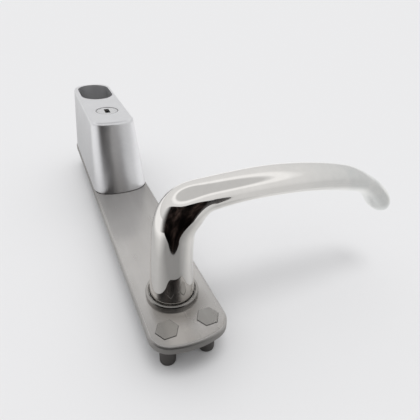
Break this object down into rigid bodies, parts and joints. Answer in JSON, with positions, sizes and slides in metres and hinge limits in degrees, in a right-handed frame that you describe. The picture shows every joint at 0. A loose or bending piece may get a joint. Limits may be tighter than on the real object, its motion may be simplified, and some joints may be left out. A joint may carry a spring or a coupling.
{
  "type": "door lever handle with key-locked guard housing",
  "caption": "Door lever on a long plate with a sprung return, and a tapered guard housing with an open oval well and a key cylinder that drives a slide into it.",
  "frame": {"origin": "on the lever's turning axis, in the plane of the door's face (the plate's back)", "axes": "+Z out of the door, +Y along the plate to the guard housing, +X along the lever at rest"},
  "size_m": [0.1448, 0.2284, 0.078],
  "materials": {
    "brushed_plate": "satin",
    "polished_lever": "polished",
    "satin_housing": "satin",
    "dark_steel": "satin",
    "plain_steel": "satin",
    "spring_steel": "satin",
    "plated_brass": "satin",
    "bare_brass": "satin",
    "acetal": "satin"
  },
  "bodies": {
    "fixed": {"back_plate": "brushed_plate", "fixing_pillars": "plain_steel", "neck_collar": "polished_lever", "neck_bush": "acetal", "spring_cup": "dark_steel", "cup_screws": "plain_steel", "return_spring": "spring_steel", "slip_washer": "acetal", "guard_housing": "satin_housing", "housing_screws": "plain_steel", "lock_cylinder": "plated_brass", "cylinder_nut": "plated_brass", "slide_guide": "plain_steel", "guide_screws": "plain_steel"},
    "lever": {"lever_handle": "polished_lever", "drive_insert": "plain_steel", "stop_washer": "plain_steel", "retaining_ring": "spring_steel"},
    "plug": {"key_plug": "plated_brass", "tumblers": "bare_brass", "crank_disc": "plain_steel", "crank_screw": "plain_steel"},
    "slide": {"locking_slide": "plain_steel"}
  },
  "joints": [
    {"name": "lever_turn", "type": "hinge", "parent": "fixed", "child": "lever", "pos_m": [0, 0, 0], "axis": [0, 0, -1], "range_deg": [0, 45], "stiffness_Nm_per_rad": 1.2, "springref_deg": -14.32, "deforming": ["return_spring"]},
    {"name": "key_turn", "type": "hinge", "parent": "fixed", "child": "plug", "pos_m": [0, 0.127, 0], "axis": [0, 0, 1], "range_deg": [0, 90]},
    {"name": "slide_travel", "type": "slide", "parent": "fixed", "child": "slide", "axis": [0, 1, 0], "range_m": [0, 0.00735]}
  ],
  "couplings": [
    {"joint": "key_turn", "follows": "slide_travel", "rad_per_m": 213.6}
  ]
}
